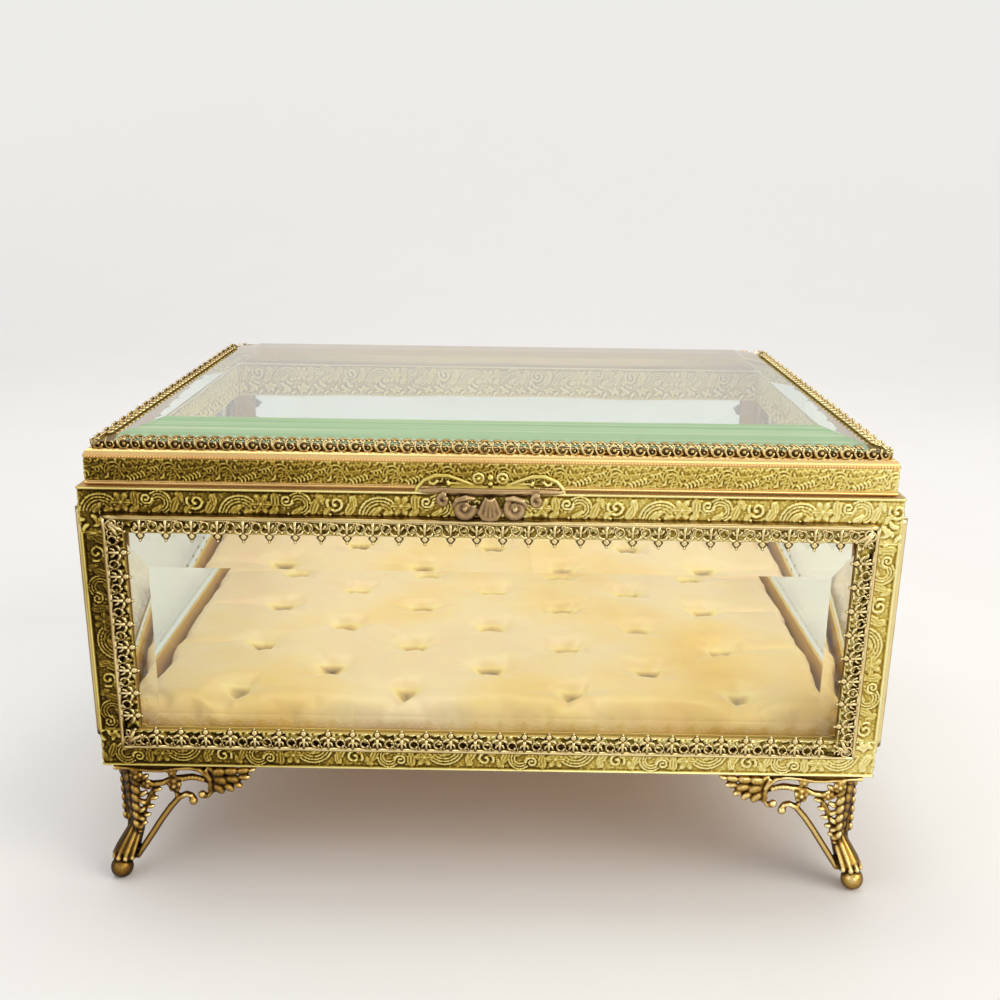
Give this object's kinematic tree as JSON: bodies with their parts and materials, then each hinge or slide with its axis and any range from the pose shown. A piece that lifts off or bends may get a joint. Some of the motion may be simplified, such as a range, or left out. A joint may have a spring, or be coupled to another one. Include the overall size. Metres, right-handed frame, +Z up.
{
  "type": "glass casket box",
  "caption": "Footed casket box with bevelled glass walls in a stamped brass frame, pierced gallery trim, a tufted pad inside and a hinged glass lid, for papers and keepsakes.",
  "frame": {"origin": "middle of the box's outline on the plane that its toes stand on", "axes": "+X to the box's right seen from the front, front at -Y, +Z up"},
  "size_m": [0.204, 0.1593, 0.1237],
  "materials": {
    "stamped_brass": "aged gilt brass, stamped with scrolls, dark in the hollows",
    "pierced_brass": "aged gilt brass, worn bright on its edges",
    "cast_brass": "cast gilt brass with a brown patina",
    "plain_brass": "plain rolled brass, dull",
    "bevelled_glass": "clear polished glass with a ground and polished bevel, faintly green at its edges",
    "satin": "old satin in peach and cream, tufted",
    "card": "grey-brown card"
  },
  "bodies": {
    "casket": {"base_plate": "plain_brass", "pad_board": "card", "tufted_pad": "satin", "bottom_rail_front": "stamped_brass", "bottom_rail_right": "stamped_brass", "bottom_rail_back": "stamped_brass", "bottom_rail_left": "stamped_brass", "top_rail_front": "stamped_brass", "top_rail_right": "stamped_brass", "top_rail_back": "stamped_brass", "top_rail_left": "stamped_brass", "post_front_left": "stamped_brass", "post_front_right": "stamped_brass", "post_back_right": "stamped_brass", "post_back_left": "stamped_brass", "pane_front": "bevelled_glass", "pane_right": "bevelled_glass", "pane_back": "bevelled_glass", "pane_left": "bevelled_glass", "gallery_front_top": "pierced_brass", "gallery_front_bottom": "pierced_brass", "gallery_front_left": "pierced_brass", "gallery_front_right": "pierced_brass", "gallery_right_top": "pierced_brass", "gallery_right_bottom": "pierced_brass", "gallery_right_front": "pierced_brass", "gallery_right_back": "pierced_brass", "gallery_back_top": "pierced_brass", "gallery_back_bottom": "pierced_brass", "gallery_back_right": "pierced_brass", "gallery_back_left": "pierced_brass", "gallery_left_top": "pierced_brass", "gallery_left_bottom": "pierced_brass", "gallery_left_back": "pierced_brass", "gallery_left_front": "pierced_brass", "foot_front_left": "cast_brass", "foot_front_right": "cast_brass", "foot_back_right": "cast_brass", "foot_back_left": "cast_brass", "hinge_left_body_leaf": "plain_brass", "hinge_right_body_leaf": "plain_brass", "hinge_left_pin": "plain_brass", "hinge_right_pin": "plain_brass"},
    "lid": {"lid_rim_front": "stamped_brass", "lid_rim_right": "stamped_brass", "lid_rim_back": "stamped_brass", "lid_rim_left": "stamped_brass", "lid_ledge_front": "plain_brass", "lid_ledge_right": "plain_brass", "lid_ledge_back": "plain_brass", "lid_ledge_left": "plain_brass", "lid_pane": "bevelled_glass", "lid_gallery_front": "pierced_brass", "lid_gallery_right": "pierced_brass", "lid_gallery_back": "pierced_brass", "lid_gallery_left": "pierced_brass", "thumb_lift": "cast_brass", "hinge_left_lid_leaf": "plain_brass", "hinge_right_lid_leaf": "plain_brass"}
  },
  "joints": [
    {"name": "lid_hinge", "type": "hinge", "parent": "casket", "child": "lid", "pos_m": [0, 0.0778, 0.1099], "axis": [-1, 0, 0], "range_deg": [0, 100]}
  ]
}
